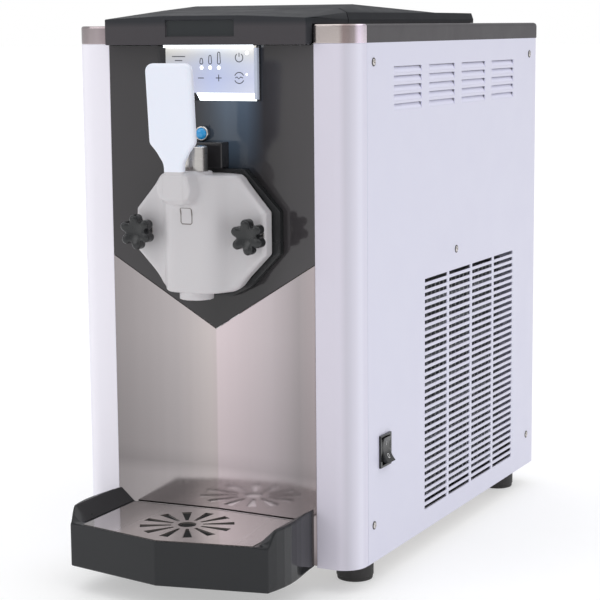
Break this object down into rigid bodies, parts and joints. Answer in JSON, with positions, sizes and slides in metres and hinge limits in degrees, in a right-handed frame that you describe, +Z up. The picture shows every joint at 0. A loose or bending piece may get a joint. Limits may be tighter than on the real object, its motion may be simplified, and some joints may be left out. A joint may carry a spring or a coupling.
{
  "type": "ice cream maker",
  "caption": "Countertop soft ice cream maker: cabinet with freezing cylinder, white dispensing door with lever and piston, mix tank, drip tray and side grilles.",
  "frame": {"origin": "on the worktop, at the middle of the space the machine takes up", "axes": "+X to the right of someone facing the door, +Y from the front to the rear, +Z up"},
  "size_m": [0.2995, 0.592, 0.532],
  "materials": {
    "white_paint": "satin",
    "polished_trim": "polished",
    "gloss_black": "gloss",
    "matte_black": "satin",
    "brushed_steel": "brushed",
    "mirror_steel": "polished",
    "white_plastic": "satin",
    "rubber": "matte",
    "display_face": "satin",
    "light_strip": "lit",
    "blue_plastic": "gloss",
    "copper": "drawn tube",
    "foam": "foam",
    "motor_paint": "semi gloss",
    "aluminium": "mill",
    "circuit_board": "lacquered",
    "duct_black": "matte"
  },
  "bodies": {
    "cabinet": {"base_pan": "brushed_steel", "feet": "rubber", "foot_screws": "polished_trim", "post_left": "white_paint", "post_right": "white_paint", "side_panel_left": "white_paint", "side_panel_right": "white_paint", "rear_panel": "white_paint", "panel_screws": "polished_trim", "trim_left": "polished_trim", "trim_right": "polished_trim", "top_cap": "gloss_black", "front_hood": "gloss_black", "front_panel": "gloss_black", "door_flange": "matte_black", "backsplash": "mirror_steel", "display_bezel": "gloss_black", "display_panel": "display_face", "display_light": "light_strip", "hood_light": "light_strip", "guide_block": "gloss_black", "button_ring": "polished_trim", "switch_bezel": "matte_black", "door_studs": "polished_trim", "hopper_tank": "brushed_steel", "feed_tube": "white_plastic", "freezing_cylinder": "brushed_steel", "evaporator_coil": "copper", "insulation": "foam", "shaft_seal": "rubber", "gear_motor": "motor_paint", "motor_bracket": "brushed_steel", "compressor": "motor_paint", "compressor_mounts": "rubber", "condenser": "aluminium", "fan_shroud": "duct_black", "fan_motor": "motor_paint", "refrigerant_pipes": "copper", "control_board": "circuit_board", "power_inlet": "matte_black", "tray_hooks": "brushed_steel"},
    "door": {"door": "white_plastic", "door_gasket": "rubber", "dasher_bush": "white_plastic", "knob_washers": "polished_trim", "lever_pin": "polished_trim"},
    "lever": {"lever": "white_plastic"},
    "piston": {"piston": "brushed_steel", "piston_seals": "rubber"},
    "knob_left": {"knob_left": "matte_black"},
    "knob_right": {"knob_right": "matte_black"},
    "push_button": {"push_button": "blue_plastic"},
    "switch_rocker": {"switch_rocker": "matte_black"},
    "dasher": {"dasher": "brushed_steel", "scraper_blades": "white_plastic"},
    "condenser_fan": {"condenser_fan": "aluminium"},
    "tank_lid": {"tank_lid": "gloss_black"},
    "drip_tray": {"drip_tray": "gloss_black"},
    "drip_plate": {"drip_plate": "mirror_steel"}
  },
  "joints": [
    {"name": "door_pull", "type": "slide", "parent": "cabinet", "child": "door", "axis": [0, -1, 0], "range_m": [0, 0.06]},
    {"name": "knob_left_turn", "type": "hinge", "parent": "door", "child": "knob_left", "pos_m": [-0.0572, -0.219, 0.328], "axis": [0, -1, 0], "continuous": true},
    {"name": "knob_right_turn", "type": "hinge", "parent": "door", "child": "knob_right", "pos_m": [0.0572, -0.219, 0.328], "axis": [0, -1, 0], "continuous": true},
    {"name": "lever_pull", "type": "hinge", "parent": "door", "child": "lever", "pos_m": [0, -0.238, 0.371], "axis": [1, 0, 0], "range_deg": [0, 50]},
    {"name": "piston_lift", "type": "slide", "parent": "door", "child": "piston", "axis": [0, 0, 1], "range_m": [0, 0.0204]},
    {"name": "button_press", "type": "slide", "parent": "cabinet", "child": "push_button", "axis": [0, 1, 0], "range_m": [0, 0.003], "stiffness_N_per_m": 300, "springref_m": -0.001},
    {"name": "rocker_tip", "type": "hinge", "parent": "cabinet", "child": "switch_rocker", "pos_m": [0.144, -0.1217, 0.1232], "axis": [0, 1, 0], "range_deg": [0, 20]},
    {"name": "dasher_turn", "type": "hinge", "parent": "cabinet", "child": "dasher", "pos_m": [0, -0.064, 0.328], "axis": [0, 1, 0], "continuous": true},
    {"name": "fan_turn", "type": "hinge", "parent": "cabinet", "child": "condenser_fan", "pos_m": [0.075, 0.101, 0.128], "axis": [1, 0, 0], "continuous": true},
    {"name": "lid_lift", "type": "slide", "parent": "cabinet", "child": "tank_lid", "axis": [0, 0, 1], "range_m": [0, 0.08]},
    {"name": "tray_pull", "type": "slide", "parent": "cabinet", "child": "drip_tray", "axis": [0, -1, 0], "range_m": [0, 0.12]},
    {"name": "plate_lift", "type": "slide", "parent": "drip_tray", "child": "drip_plate", "axis": [0, 0, 1], "range_m": [0, 0.05]}
  ],
  "couplings": [
    {"joint": "piston_lift", "follows": "lever_pull", "m_per_rad": 0.0233}
  ]
}
